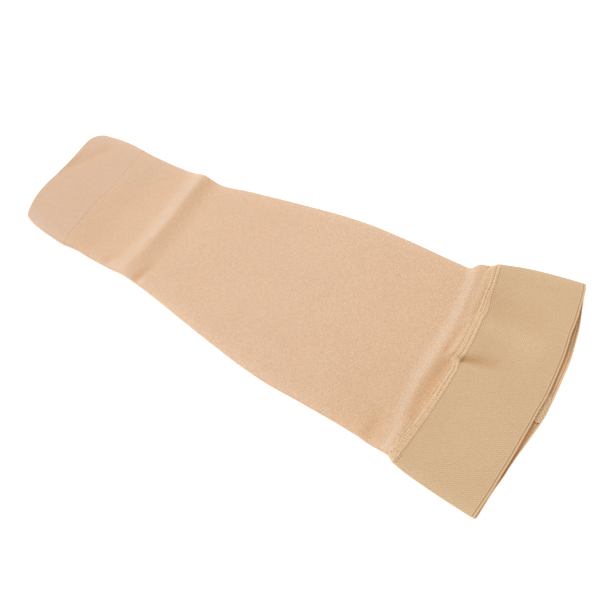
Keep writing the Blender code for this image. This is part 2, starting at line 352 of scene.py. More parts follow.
def joinRoom(course, y):  # the upper layer swells over the webbing's overlapped ends
    near = join["near"] - join["roomMargin"]
    far = join["far"] + join["roomMargin"]
    across = ease(y, near - join["roomEase"], near) * (1.0 - ease(y, far, far + join["roomEase"]))
    return join["room"] * across * ease(course, *join["roomRise"])


def sideRim(line, y):  # 1 at the side folds, fading inwards
    inside = np.minimum(line["nearY"] + y, line["farY"] - y)
    return np.exp(-np.maximum(inside, 0.0) / sleeve["shoulderReach"])


def underside(course, line, y):
    return foldHeights(course, acrossShare(line, y))[0] + webbingLift(course)


def upperSide(course, line, y):
    arch, crown = foldHeights(course, acrossShare(line, y))
    closed = arch + webbingLift(course) + closedThickness(course) + crown
    closed = closed - sleeve["shoulder"] * sideRim(line, y)
    return closed + mouthPart(course, y, "gape") + joinRoom(course, y)


def creaseLift(creases, x, y):  # x and y from the middle of the box
    lift = np.zeros_like(x)
    mark = np.zeros_like(x)
    for crease in rowsOf(creaseColumns, creases):
        alongX = crease["endX"] - crease["startX"]
        alongY = crease["endY"] - crease["startY"]
        span = math.hypot(alongX, alongY)
        t = ((x - crease["startX"]) * alongX + (y - crease["startY"]) * alongY) / span**2
        held = np.clip(t, 0.0, 1.0)
        width = crease["startWidth"] + (crease["endWidth"] - crease["startWidth"]) * held
        off = np.hypot(x - crease["startX"] - held * alongX, y - crease["startY"] - held * alongY)
        depth = crease["startLift"] + (crease["endLift"] - crease["startLift"]) * held
        swell = depth * np.exp(-((off / width) ** 2))
        lift = lift + swell
        # A trough's depth paints shade on the cloth, and a swell's height paints light.
        mark = mark - crease["tint"] * swell
    return lift, mark


def relief(table, course):
    lift = np.zeros_like(course)
    for line in rowsOf(reliefColumns, table):
        lift = lift + line["lift"] * hump((course - line["course"]) / (2.0 * line["halfWidth"]))
    return lift


def foldRows(course, line):  # the side folds' centre lines and radii
    rows = []
    for side, sign in (("near", -1.0), ("far", 1.0)):
        edge = sign * line[side + "Y"]
        radius = sleeve["layerGap"] + sleeve["knitWall"]
        for _ in range(3):  # the radius is half the thickness at its own row
            inner = edge - sign * radius
            radius = (upperSide(course, line, inner) - underside(course, line, inner)) / 2.0
        middle = edge - sign * radius
        rows.append((middle, underside(course, line, middle) + radius, radius))
    return rows


def clothPoints(course, turn, outset):
    # Points on the sleeve's form, in metres. turn goes once round: 0 to 1 over the top from
    # near to far, 1 to 2 round the far fold, 2 to 3 back below, 3 to 4 round the near fold.
    course, turn, outset = np.broadcast_arrays(
        np.asarray(course, float), np.asarray(turn, float) % 4.0, np.asarray(outset, float)
    )
    line = crossLine(course)
    (nearY, nearZ, nearRadius), (farY, farZ, farRadius) = foldRows(course, line)
    nearRadius = nearRadius + outset
    farRadius = farRadius + outset
    over = turn <= 1.0
    farFold = (turn > 1.0) & (turn < 2.0)
    under = (turn >= 2.0) & (turn <= 3.0)
    share = np.where(over, turn, 3.0 - turn)
    flatY = nearY + (farY - nearY) * share
    farAngle = math.pi / 2 - (turn - 1.0) * math.pi
    nearAngle = (turn - 3.0) * math.pi - math.pi / 2
    foldY = nearY - nearRadius * np.cos(nearAngle)
    foldY = np.where(farFold, farY + farRadius * np.cos(farAngle), foldY)
    y = np.where(over | under, flatY, foldY)
    z = nearZ + nearRadius * np.sin(nearAngle)
    z = np.where(farFold, farZ + farRadius * np.sin(farAngle), z)
    z = np.where(over, upperSide(course, line, flatY) + outset, z)
    z = np.where(under, underside(course, line, flatY) - outset, z)
    x = lineX(course, line, y) - np.where(over, mouthPart(course, y, "setback"), 0.0)
    x = x - np.where(under, mouthPart(course, y, "lowerSetback"), 0.0)
    pushed = hump((y + toFrameY - join["bulgeY"]) / join["bulgeHalfSpan"])
    x = x + join["bulge"] * pushed * ease(course, join["bulgeStart"], sleeve["length"])
    for shift in rowsOf(shiftColumns, shifts):
        reach = np.where(course < shift["course"], shift["before"], shift["after"])
        off = np.maximum(shift["nearY"] - y, 0.0) + np.maximum(y - shift["farY"], 0.0)
        x = x + shift["step"] * hump((course - shift["course"]) / reach) * hump(off / shift["soft"])
    # The rims of the side folds are painted lighter.
    rimLight = sideRim(line, y)
    x = x + toFrameX
    y = y + toFrameY
    foldUp = np.maximum(np.where(farFold, np.sin(farAngle), np.sin(nearAngle)), 0.0)
    upperWeight = np.where(over, 1.0, np.where(under, 0.0, foldUp))
    lift, mark = creaseLift(upperCreases, x, y)
    z = z + lift * upperWeight + creaseLift(lowerCreases, x, y)[0] * under
    return np.stack([x, y, z], axis=-1) * mm, mark * upperWeight, rimLight


def turnsRound(across, foldSteps):  # even steps over the top and below, closer by the folds
    share = np.linspace(0.0, 1.0, across)
    share = (share + 0.5 - 0.5 * np.cos(np.pi * share)) / 2.0
    fold = np.arange(1, foldSteps) / foldSteps
    return np.concatenate([share, 1.0 + fold, 2.0 + share, 3.0 + fold])


# Painted shade, warmer, where the cloth falls towards the mouth away from the key light, and
# painted light, paler, where it rises towards that light.
slopeShading = {"start": 0.04, "gain": 3.4, "litStart": 0.1, "litGain": 4.5}
# Inside the mouth the lower layer is painted in shade up to a little way past the upper one's
# edge, and painted lighter beyond it.
mouthShade = (0.55, 1.2)
# Painted light is also laid on the selvedge's raised threads.
edgeLight = 0.25  # share of that light on the selvedge's raised threads


# -1 marks painted shade and 1 painted light on the lower layer inside the mouth.
def innerMark(cloth, course, y, sunk):  # -1 in shade and 1 in the light
    past = readTable(mouthColumns, mouthTable, "setback", y / mm)
    past = past - readTable(mouthColumns, mouthTable, "lowerSetback", y / mm)
    past = past + course - sleeve["length"]
    return 2.0 * ease(past, *mouthShade) - 1.0 - cloth["insideShade"] * np.maximum(-sunk, 0.0)


grid = {"across": 92, "bandAcross": 110, "foldSteps": 8, "roundSteps": 4, "least": 0.1}


def rounded(edge, reach, bends):  # courses and levels round an edge of the cloth
    return [(edge + reach * (1.0 - math.cos(bend)), math.sin(bend)) for bend in bends]


def clothShell(name, courses, cloth, across):
    # A tube of cloth with rounded edges: out along its face, back along its inside.
    first, last = courses[0], courses[-1]
    startReach, endReach = cloth["edgeReach"]
    least = grid["least"]
    steps = grid["roundSteps"]
    bends = [math.pi / 2 * i / steps for i in range(-steps, steps + 1)]
    middle = [first + 2.0 * startReach, last - 2.0 * endReach]  # they keep the edges' shading narrow
    middle = sorted(middle + [c for c in courses if middle[0] + least < c < middle[1] - least])
    stations = rounded(first, startReach, bends[steps:])
    stations += [(c, 1.0) for c in middle]
    stations += rounded(last, -endReach, reversed(bends))
    stations += [(c, -1.0) for c in reversed(middle)]
    stations += rounded(first, startReach, bends[:steps])
    course, level = np.array(stations).T
    sunk = relief(cloth["relief"], course)
    face = cloth["proud"](course)
    inside = face - cloth["wall"](course) - cloth["insideRelief"] * sunk
    face = face + sunk - cloth["thinned"](course)
    outset = inside + (face - inside) * (1.0 + level) / 2.0
    turn = turnsRound(across, grid["foldSteps"])
    points, paintedShading, rimLight = clothPoints(course[:, None], turn[None, :], outset[:, None])
    reach = np.where(level < 0.0, cloth["insideRelief"], 1.0) * np.abs(level)
    # Painted shade in the relief's grooves.
    paintedShading = paintedShading + (np.maximum(-sunk, 0.0) * reach)[:, None] * cloth["reliefShadeShare"]
    onTop = (level == 1.0)[:, None] & (turn <= 1.0)[None, :]
    # Painted shade where the top falls away from the key light, painted light where it rises.
    forward = np.maximum(np.gradient(points[..., 0], axis=0), 1e-5)
    fall = -np.gradient(points[..., 2], axis=0) / forward
    turned = ((fall - slopeShading["start"]) * slopeShading["gain"]).clip(0.0, 1.0)
    turned = turned - ((-fall - slopeShading["litStart"]) * slopeShading["litGain"]).clip(0.0, 1.0)
    paintedShading = paintedShading + np.where(onTop, turned, 0.0) * cloth["slopeShadingShare"]
    # Painted shade and light inside the mouth, and painted light on the selvedge's raised threads.
    inner = innerMark(cloth, course[:, None], points[..., 1], sunk[:, None])
    raised = (np.maximum(sunk, 0.0) * (level == 1.0))[:, None] * cloth["reliefLight"]
    inner = np.where(level[:, None] < 0.0, inner, edgeLight * raised)
    # The grid closes both ways. Its map's U is the share of the way round and V the course.
    index = np.pad(np.arange(paintedShading.size).reshape(paintedShading.shape), (0, 1), "wrap")
    step = np.linalg.norm(np.roll(points, -1, axis=1) - points, axis=-1)
    share = np.pad(np.cumsum(step, axis=1), ((0, 0), (1, 0)))
    share = np.pad(share / share[:, -1:], ((0, 1), (0, 0)), "wrap")
    mesh = gridMesh(name, points, index, share, np.pad(course, (0, 1), "wrap"))
    # These marks carry the painted shade and painted light to the finishes.
    for label, values in (("paintedShading", paintedShading), ("rimLight", rimLight + raised), ("inner", inner)):
        mark = mesh.attributes.new(label, "FLOAT", "POINT")
        mark.data.foreach_set("value", values.astype(np.float32).ravel())
    shape = bmesh.new()
    shape.from_mesh(mesh)
    bmesh.ops.recalc_face_normals(shape, faces=shape.faces)
    shape.to_mesh(mesh)
    shape.free()
    return addPiece(name, mesh)


def cells(values):  # the four corners of each cell of a grid
    return np.stack([values[:-1, :-1], values[:-1, 1:], values[1:, 1:], values[1:, :-1]], axis=-1)


def gridMesh(name, points, index, across, courses):
    mesh = bpy.data.meshes.new(name)
    mesh.from_pydata(points.reshape(-1, 3).tolist(), [], cells(index).reshape(-1, 4).tolist())
    mesh.shade_smooth()
    clothMap = mesh.uv_layers.new(name="clothMap")
    along = np.broadcast_to(courses[:, None], index.shape)
    places = np.stack([cells(across), cells(along)], axis=-1)
    clothMap.data.foreach_set("uv", places.astype(np.float32).ravel())
    return mesh


def spread(start, stop, step):  # even places from start to stop, both included
    count = max(round((stop - start) / step), 1)
    return [start + (stop - start) * i / count for i in range(count + 1)]


def spreads(ends, steps):  # from each end to the next, with a step for each stretch
    places = []
    for start, stop, step in zip(ends, ends[1:], steps):
        places = places[:-1] + spread(start, stop, step)
    return places


def addPiece(name, data):
    piece = bpy.data.objects.new(name, data)
    bpy.context.scene.collection.objects.link(piece)
    return piece


def mathNode(operation, turned=False):  # turned round, the wire is the second number
    def method(wire, other=0.0):
        first, second = (other, wire) if turned else (wire, other)
        return wire.bench.node("ShaderNodeMath", {"operation": operation}, {0: first, 1: second})

    return method


class Wire:
    # A node's output. Arithmetic on it adds Math nodes.
    __add__ = mathNode("ADD")
    __radd__ = mathNode("ADD", turned=True)
    __sub__ = mathNode("SUBTRACT")
    __rsub__ = mathNode("SUBTRACT", turned=True)
    __mul__ = mathNode("MULTIPLY")
    __rmul__ = mathNode("MULTIPLY", turned=True)
    __truediv__ = mathNode("DIVIDE")
    modulo = mathNode("MODULO")
    cos = mathNode("COSINE")
    abs = mathNode("ABSOLUTE")
    fraction = mathNode("FRACT")

    def __init__(self, bench, socket):
        self.bench = bench
        self.socket = socket

    def clamped(self):
        return self.bench.node("ShaderNodeClamp", {}, {0: self})

    def eased(self, low, high):
        sockets = {"Value": self, "From Min": low, "From Max": high}
        return self.bench.node("ShaderNodeMapRange", {"interpolation_type": "SMOOTHSTEP"}, sockets)


class Bench:
    # Builds one node tree, for a finish or for stitches.
    def __init__(self, tree, owner=None):
        self.tree = tree
        self.owner = owner

    def node(self, kind, settings=None, sockets=None, out=0):
        made = self.tree.nodes.new(kind)
        for key, value in (settings or {}).items():
            setattr(made, key, value)
        for key, value in (sockets or {}).items():
            if isinstance(value, Wire):
                self.tree.links.new(value.socket, made.inputs[key])
            else:
                made.inputs[key].default_value = value
        return Wire(self, made.outputs[out]) if made.outputs else made


def mixed(bench, factor, first, second):
    first, second = (c if isinstance(c, Wire) else (*c, 1.0) for c in (first, second))
    sockets = {0: factor, 6: first, 7: second}
    return bench.node("ShaderNodeMix", {"data_type": "RGBA"}, sockets, out=2)


def noise(bench, scale, detail, stretch=(1.0, 1.0, 1.0)):
    place = bench.node("ShaderNodeTexCoord", out=3)
    tilt = (0.61, 0.43, 0.27)  # so that no flat cloth lies along the noise's own grid
    place = bench.node("ShaderNodeMapping", {}, {"Vector": place, "Scale": stretch, "Rotation": tilt})
    return bench.node("ShaderNodeTexNoise", {}, {"Vector": place, "Scale": scale, "Detail": detail})


def mapAxes(bench, repeats, pitch):  # the cloth's map, counted in threads and courses
    place = bench.node("ShaderNodeUVMap", {"uv_map": "clothMap"})
    across = bench.node("ShaderNodeSeparateXYZ", {}, {0: place})
    course = Wire(bench, across.socket.node.outputs[1])
    return across * repeats, course / pitch, course


def readMark(bench, name):
    return bench.node("ShaderNodeAttribute", {"attribute_name": name}, out=2)


def newBench(name):
    material = bpy.data.materials.new(name)
    material.use_nodes = True
    material.node_tree.nodes.clear()
    return Bench(material.node_tree, material)


def closeFinish(bench, values, colour, height, roughness):
    depth = values["bumpDepth"] * mm
    bump = {"Height": height, "Strength": values["bumpStrength"], "Distance": depth}
    sockets = {
        "Base Color": colour,
        "Roughness": roughness,
        "Normal": bench.node("ShaderNodeBump", {}, bump),
        "Sheen Weight": values["sheen"],
        "Sheen Roughness": 0.5,
        "Sheen Tint": (*values["sheenTint"], 1.0),
        "Specular IOR Level": values["specular"],
        "Subsurface Weight": values["glow"],
        "Subsurface Radius": values["glowReach"],
        "Subsurface Scale": mm,
    }
    return closeShader(bench, sockets)


def closeShader(bench, sockets):
    shader = bench.node("ShaderNodeBsdfPrincipled", {}, sockets)
    bench.node("ShaderNodeOutputMaterial", {}, {"Surface": shader})
    return bench.owner


def tinted(bench, factor, colour, tint):
    settings = {"data_type": "RGBA", "blend_type": "MULTIPLY"}
    return bench.node("ShaderNodeMix", settings, {0: factor, 6: colour, 7: (*tint, 1.0)}, out=2)


def shaded(bench, values, shade):
    # Light and dark threads round the cloth's tone, then the painted shade of folds, hollows and
    # grooves, and the painted light of rising cloth and rims.
    low, high = (
        tuple(t * (1.0 + sign * values["contrast"] * w) for t, w in zip(values["tone"], values["tilt"]))
        for sign in (-1.0, 1.0)
    )
    colour = mixed(bench, shade.clamped(), low, high)
    mark = readMark(bench, "paintedShading")
    colour = tinted(bench, mark.clamped(), colour, values["paintedShadeTint"])
    colour = tinted(bench, (mark - 1.0).clamped(), colour, values["deepShadeTint"])
    colour = tinted(bench, (mark * -1.0).clamped(), colour, values["paintedLightTint"])
    return tinted(bench, readMark(bench, "rimLight").clamped(), colour, values["rimLightTint"])


armKnit = {
    "wales": 236,
    "coursePitch": 0.95,
    "tone": (0.714, 0.485, 0.323),
    "contrast": 0.4,
    "tilt": (0.66, 1.0, 1.07),  # how much of the contrast each channel takes
    # Painted shade in folds and hollows, deeper painted shade, and painted light on rising cloth.
    "paintedShadeTint": (0.985, 0.905, 0.785),
    "deepShadeTint": (0.8, 0.79, 0.78),
    "paintedLightTint": (0.955, 1.045, 1.18),
    # Painted light along the side folds.
    "rimLightTint": (1.09, 1.13, 1.2),
    "cuffOver": (45.0, 78.0),  # the knit is a little darker up to here
    "cuffTint": (0.955, 0.935, 0.91),
    "upperFrom": (170.0, 262.0),  # and the knit is stretched further towards the shoulder
    "upperTint": (0.985, 0.965, 0.915),
    "lapFrom": (263.3, 264.3),  # it is pressed and sewn over the webbing
    "lapTint": (1.072, 1.104, 1.084),
    "edgeFrom": (268.9, 269.2),  # its cut edge
    # Painted shade along that edge, where the knit steps down onto the webbing.
    "edgeTint": (0.955, 0.905, 0.865),
    "stitchSlant": 0.35,
    "stitchContrast": 0.16,
    "grainContrast": 1.95,
    "grainScale": 3000.0,
    "calmGrain": 0.6,  # share of the grain left at the cuff
    "calmOver": (70.0, 150.0),
    "softContrast": 0.06,
    "softScale": 600.0,
    "cloudContrast": 0.1,
    "cloudScale": 30.0,
    "bumpStrength": 0.5,
    "bumpDepth": 0.1,
    "stitchHeight": 0.6,  # shares of the bump
    "grainHeight": 0.4,
    "roughness": 0.88,
    "roughnessContrast": 0.1,
    "sheen": 0.15,
    "sheenTint": (1.0, 0.86, 0.76),
    "specular": 0.2,
    "glow": 0.1,
    "glowReach": (0.8, 0.4, 0.25),
}
weltKnit = dict(
    armKnit,
    tone=(0.662, 0.453, 0.315),
    coursePitch=0.8,
    stitchContrast=0.08,
    grainContrast=0.4,
    calmGrain=1.0,
    softContrast=0.16,
    cuffTint=(1.0, 1.0, 1.0),
)


def knitFinish(name, values):
    bench = newBench(name)
    wale, row, course = mapAxes(bench, values["wales"], values["coursePitch"])
    slant = (2.0 * wale.fraction() - 1.0).abs()  # each stitch is a V
    legs = ((row + values["stitchSlant"] * slant) * math.tau).cos()
    ribs = (wale * math.tau).cos()
    stitch = 0.5 + 0.25 * legs - 0.25 * ribs
    grain = noise(bench, values["grainScale"], 1.0)
    soft = noise(bench, values["softScale"], 1.0)
    cloud = noise(bench, values["cloudScale"], 3.0)
    calm = values["calmGrain"]
    lively = calm + (1.0 - calm) * course.eased(*values["calmOver"])
    shade = (
        0.5
        + (values["stitchContrast"] * (stitch - 0.5) + values["grainContrast"] * (grain - 0.5)) * lively
        + values["softContrast"] * (soft - 0.5)
        + values["cloudContrast"] * (cloud - 0.5)
    )
    colour = shaded(bench, values, shade)
    colour = tinted(bench, 1.0 - course.eased(*values["cuffOver"]), colour, values["cuffTint"])
    for stretch in ("upper", "lap", "edge"):
        reached = course.eased(*values[stretch + "From"])
        colour = tinted(bench, reached, colour, values[stretch + "Tint"])
    height = values["stitchHeight"] * stitch + values["grainHeight"] * grain
    roughness = values["roughness"] + values["roughnessContrast"] * (grain - 0.5)
    return closeFinish(bench, values, colour, height, roughness)


webbing = {
    "threads": 466,
    "threadPitch": 1.09,
    "tone": (0.64, 0.44, 0.257),
    "contrast": 0.23,
    "tilt": (0.76, 1.0, 1.28),
    # Painted shade in folds and hollows, deeper painted shade, and painted light on rising cloth.
    "paintedShadeTint": (0.93, 0.86, 0.775),
    "deepShadeTint": (0.87, 0.8, 0.735),
    "paintedLightTint": (1.05, 1.06, 1.08),
    # Painted light along the side folds and on the selvedge's raised threads.
    "rimLightTint": (1.09, 1.13, 1.2),
    # Painted light on the lip inside the mouth, and painted shade deeper in it.
    "lipLightTint": (1.3, 1.27, 1.2),
    "insideTint": (1.1, 0.835, 0.685),
    "dotContrast": 0.34,
    "rowContrast": 0.17,
    "grainContrast": 1.2,
    "grainScale": 2200.0,
    "cloudContrast": 0.2,
    "cloudScale": 30.0,
    "fadeScale": 40.0,
    "fadeOver": (0.3, 0.6),
    "farFade": 0.1,  # share of the weave's contrast lost over farShare of the way round
    "farShare": (0.2, 0.45),
    "plainFrom": (316.0, 317.2),  # the selvedge has no dots
    "bumpStrength": 0.6,
    "bumpDepth": 0.15,
    "dotHeight": 0.35,
    "grainHeight": 0.3,
    "roughness": 0.82,
    "roughnessContrast": 0.1,
    "sheen": 0.12,
    "sheenTint": (1.0, 0.88, 0.75),
    "specular": 0.25,
    "glow": 0.0,
    "glowReach": (0.7, 0.35, 0.2),
}
# The overlapped ends are painted darker than the band: painted shade inside the mouth.
joinWebbingInShade = dict(webbing, tone=(0.58, 0.385, 0.22))


def webbingFinish(name, values):
    bench = newBench(name)
    thread, row, course = mapAxes(bench, values["threads"], values["threadPitch"])
    dots = (thread * math.pi).cos() * (row * math.pi).cos()  # staggered
    rows = (row * math.tau).cos()
    grain = noise(bench, values["grainScale"], 1.0)
    cloud = noise(bench, values["cloudScale"], 3.0)
    clear = 0.5 + 0.5 * noise(bench, values["fadeScale"], 2.0).eased(*values["fadeOver"])
    clear = clear * (1.0 - values["farFade"] * (thread / values["threads"]).eased(*values["farShare"]))
    clear = clear * (1.0 - course.eased(*values["plainFrom"]))
    shade = (
        0.5
        - (values["dotContrast"] * dots + values["rowContrast"] * rows) * clear
        + values["grainContrast"] * (grain - 0.5)
        + values["cloudContrast"] * (cloud - 0.5)
    )
    colour = shaded(bench, values, shade)
    # Painted light on the lip and raised threads, painted shade deeper inside the mouth.
    inner = readMark(bench, "inner")
    colour = tinted(bench, inner.clamped(), colour, values["lipLightTint"])
    colour = tinted(bench, (inner * -1.0).clamped(), colour, values["insideTint"])
    height = 0.5 - values["dotHeight"] * dots + values["grainHeight"] * (grain - 0.5)
    roughness = values["roughness"] + values["roughnessContrast"] * (grain - 0.5)
    return closeFinish(bench, values, colour, height, roughness)


def dress(piece, node=None, finish=None):
    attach(piece, "root")
    if node:
        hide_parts(node)
        piece.data.materials.append(finish)
    return piece


weltCloth = {
    "ends": (0.0, sleeve["hem"]),  # courses between which the steps hold
    "steps": (1.0,),
    "proud": np.zeros_like,
    "wall": lambda course: np.full_like(course, sleeve["weltWall"]),
    "thinned": np.zeros_like,
    "relief": (),
    # Shares of the painted shade in grooves and on falling slopes, and of painted light on raised
    # threads.
    "reliefShadeShare": 0.0,
    "reliefLight": 0.0,
    "insideShade": 0.0,
    "insideRelief": 0.0,
    "slopeShadingShare": 0.3,
    "edgeReach": (0.7, 0.03),
}
armCloth = dict(
    weltCloth,
    ends=(sleeve["hem"], 66.0, 96.0, 240.0, 262.0, sleeve["lapEnd"]),
    steps=(1.5, 0.8, 2.2, 0.7, 0.3),
    proud=knitProud,
    wall=knitWall,
    thinned=knitThinned,
    relief=lapRelief,
    reliefShadeShare=1.5,
    slopeShadingShare=0.8,
    edgeReach=(0.03, 0.12),
)
bandCloth = dict(
    weltCloth,
    ends=(sleeve["lapStart"] + sleeve["webbingInset"], 267.0, 276.0, 314.0, sleeve["length"]),
    steps=(1.0, 0.6, 1.3, 0.25),
    wall=lambda course: np.full_like(course, sleeve["webbingWall"]),
    relief=selvedgeRelief,
    reliefShadeShare=2.2,
    reliefLight=16.0,
    insideShade=5.0,
    insideRelief=0.8,
    slopeShadingShare=0.5,
    edgeReach=(0.6, 0.35),
)


def layTube(name, cloth, node, finish, across=grid["across"]):
    piece = clothShell(name, spreads(cloth["ends"], cloth["steps"]), cloth, across)
    return dress(piece, node, finish)


def declareTube(cloth):
    # Takes points along the middle of the cloth; nothing more is made of them.
    courses = np.array(spreads(cloth["ends"], cloth["steps"]))
    turn = turnsRound(grid["across"], grid["foldSteps"])
    middle = -cloth["wall"](courses)[:, None] / 2.0
    points = clothPoints(courses[:, None], turn[None, :], middle)[0]


def clothTurn(layer, course, y):  # the turn of a place on the upper or lower layer, y in the frame
    course = np.asarray(course, float)
    line = crossLine(course)
    near, far = (row[0] for row in foldRows(course, line))
    share = np.clip((y - toFrameY - near) / (far - near), 0.0, 1.0)
    return share if layer == "upper" else 3.0 - share


def makeBandJoin():
    # The overlapped end of the webbing, inside on the lower layer and made from its points.
    name = "band_join_webbing"
    first = sleeve["lapStart"] + join["fromLap"]
    courses = np.array(spread(first, sleeve["length"] - join["fromEdge"], join["step"]))
    ys = np.array(spread(join["near"], join["far"], join["step"])) + toFrameY
    turn = clothTurn("under", courses[:, None], ys[None, :])
    inside = -sleeve["webbingWall"] - join["clearance"] - join["wall"] / 2.0
    points = clothPoints(courses[:, None], turn, inside)[0]
    index = np.arange(turn.size).reshape(turn.shape)
    piece = addPiece(name, gridMesh(name, points, index, turn / 4.0, courses))
    wall = piece.modifiers.new("wall", "SOLIDIFY")
    wall.thickness = join["wall"] * mm
    wall.offset = 0.0
    edge = piece.modifiers.new("edge", "BEVEL")
    edge.width = join["edgeRadius"] * mm
    edge.segments = 2
    dress(piece, "band_join", webbingFinish("join webbing in shade", joinWebbingInShade))


threadTones = {  # deep and light
    "light": ((0.74, 0.54, 0.345), (0.9, 0.69, 0.475)),
    "rib": ((0.76, 0.54, 0.35), (0.87, 0.64, 0.435)),
    "lace": ((0.76, 0.52, 0.31), (1.0, 0.79, 0.54)),
    # Painted shade in needle holes and pricks; the hem's real thread is darkened as the shade of its
    # groove.
    "hole": ((0.32, 0.175, 0.08), (0.45, 0.26, 0.13)),
    "prick": ((0.4, 0.235, 0.12), (0.54, 0.33, 0.185)),
    "hem": ((0.52, 0.325, 0.195), (0.64, 0.42, 0.265)),
}
thread = {
    "twistScale": 2500.0,
    "twistStretch": (1.0, 2.5, 1.0),
    "roughness": 0.75,
    "roughnessContrast": 0.2,
    "bumpStrength": 0.5,
    "bumpDepth": 0.05,
    "sheen": 0.1,
    "sheenTint": (1.0, 0.9, 0.8),
    "specular": 0.25,
    "glow": 0.0,
    "glowReach": (1.0, 0.5, 0.3),
}


def threadFinish(tone):
    bench = newBench(tone + " thread")
    twist = noise(bench, thread["twistScale"], 2.0, thread["twistStretch"])
    colour = mixed(bench, twist.clamped(), *threadTones[tone])
    roughness = thread["roughness"] + thread["roughnessContrast"] * twist
    return closeFinish(bench, thread, colour, twist, roughness)


def randomFloat(bench, low, high, seed):
    sockets = {2: low, 3: high, "Seed": seed}
    return bench.node("FunctionNodeRandomValue", {"data_type": "FLOAT"}, sockets, out=1)


# All the sewing, a row for each piece of it. Sizes are in millimetres and turns in degrees.
stitchColumns = (
    "name", "tone", "slot", "pitch", "length", "width", "arch",
    "shift", "turn", "zigzag", "sizeJitter", "turnJitter", "seed",
)
stitchTable = (
    ("lap_slots", "hole", "knit", 1.5, 0.95, 0.48, 0.08, 0, 90, 0, 0.18, 0.14, 3),
    ("lap_dots", "hole", "knit", 1.5, 0.6, 0.4, 0.02, 0.75, 90, 0, 0.18, 0.14, 4),
    ("lap_rungs", "light", "knit", 1.1, 1.9, 0.5, 0.14, 0.55, 90, 0, 0.18, 0.14, 5),
    ("lap_ribs", "rib", "knit", 1.1, 3.7, 0.62, 0.16, 0.55, 90, 0, 0.18, 0.14, 6),
    ("lap_thread", "light", "knit", 1.5, 1.8, 0.6, 0.14, 0, 0, 0, 0.18, 0.14, 7),
    ("lap_pricks", "prick", "knit", 1.1, 1.25, 0.44, 0.05, 0, 0, 0, 0.18, 0.14, 8),
    ("hem_stitches", "hem", "welt_knit", 2.3, 1.6, 0.32, 0, 0, 0, 0, 0.5, 0.12, 21),
    ("join_lace", "lace", "webbing_join", 1.15, 1.45, 0.42, 0.15, 0, 0, 50, 0.12, 0.2, 31),
)
stitchUnits = {  # of the columns that go to the stitches' own node tree
    **dict.fromkeys(("pitch", "length", "width", "arch", "shift"), mm),
    **dict.fromkeys(("turn", "zigzag"), math.radians(1.0)),
    **dict.fromkeys(("sizeJitter", "turnJitter"), 1.0),
}


stitchSteps = {"along": 5, "round": 6}  # of one arch of thread


def stitchTree(name):
    # Lays one small arch of thread at even steps along each row. A row's points carry the
    # cloth's outward direction.
    tree = bpy.data.node_groups.new(name, "GeometryNodeTree")
    tree.interface.new_socket("Geometry", in_out="OUTPUT", socket_type="NodeSocketGeometry")
    kinds = {"rows": "Geometry", "seed": "Int", "thread": "Material"}
    kinds.update(dict.fromkeys(stitchUnits, "Float"))
    for label, kind in kinds.items():
        tree.interface.new_socket(label, in_out="INPUT", socket_type="NodeSocket" + kind)
    bench = Bench(tree)
    given = bench.node("NodeGroupInput").socket.node
    take = {socket.name: Wire(bench, socket) for socket in given.outputs if socket.name}
    rows = bench.node("GeometryNodeMeshToCurve", {}, {"Mesh": take["rows"]})
    steps = {"Curve": rows, "Length": take["pitch"]}
    rows = bench.node("GeometryNodeResampleCurve", {"mode": "LENGTH"}, steps)
    along = bench.node("GeometryNodeInputTangent")
    marked = "GeometryNodeInputNamedAttribute"
    outward = bench.node(marked, {"data_type": "FLOAT_VECTOR"}, {"Name": "outward"})
    size = bench.node(marked, {"data_type": "FLOAT"}, {"Name": "size"})
    shifting = {0: along, "Scale": take["shift"]}
    shift = bench.node("ShaderNodeVectorMath", {"operation": "SCALE"}, shifting)
    rows = bench.node("GeometryNodeSetPosition", {}, {"Geometry": rows, "Offset": shift})
    half = take["length"] * 0.5
    sink = take["width"] * -0.5
    path = {
        "Resolution": stitchSteps["along"],
        "Start": bench.node("ShaderNodeCombineXYZ", {}, {0: half * -1.0, 2: sink}),
        "Middle": bench.node("ShaderNodeCombineXYZ", {}, {2: take["arch"] * 2.0}),
        "End": bench.node("ShaderNodeCombineXYZ", {}, {0: half, 2: sink}),
    }
    arch = bench.node("GeometryNodeCurveQuadraticBezier", {}, path)
    roundness = {"Resolution": stitchSteps["round"], "Radius": take["width"] * 0.5}
    section = bench.node("GeometryNodeCurvePrimitiveCircle", {"mode": "RADIUS"}, roundness)
    body = {"Curve": arch, "Profile Curve": section, "Fill Caps": True}
    stitch = bench.node("GeometryNodeCurveToMesh", {}, body)
    stitch = bench.node("GeometryNodeSetShadeSmooth", {}, {"Geometry": stitch})
    facing = bench.node(
        "FunctionNodeAxesToRotation",
        {"primary_axis": "Z", "secondary_axis": "X"},
        {"Primary Axis": outward, "Secondary Axis": along},
    )
    side = 2.0 * bench.node("GeometryNodeInputIndex").modulo(2.0) - 1.0
    wander = randomFloat(bench, take["turnJitter"] * -1.0, take["turnJitter"], take["seed"])
    turned = bench.node("ShaderNodeCombineXYZ", {}, {2: take["turn"] + side * take["zigzag"] + wander})
    turned = bench.node("FunctionNodeEulerToRotation", {}, {0: turned})
    turning = {0: facing, 1: turned}
    facing = bench.node("FunctionNodeRotateRotation", {"rotation_space": "LOCAL"}, turning)
    otherSeed = take["seed"] + 7.0  # so that the sizes don't follow the turns
    grown = randomFloat(bench, 1.0 - take["sizeJitter"], 1.0 + take["sizeJitter"], otherSeed)
    laid = {"Points": rows, "Instance": stitch, "Rotation": facing, "Scale": grown * size}
    laid = bench.node("GeometryNodeInstanceOnPoints", {}, laid)
    laid = bench.node("GeometryNodeRealizeInstances", {}, {0: laid})
    laid = bench.node("GeometryNodeSetMaterial", {}, {"Geometry": laid, "Material": take["thread"]})
    bench.node("NodeGroupOutput", {}, {0: laid})
    return tree


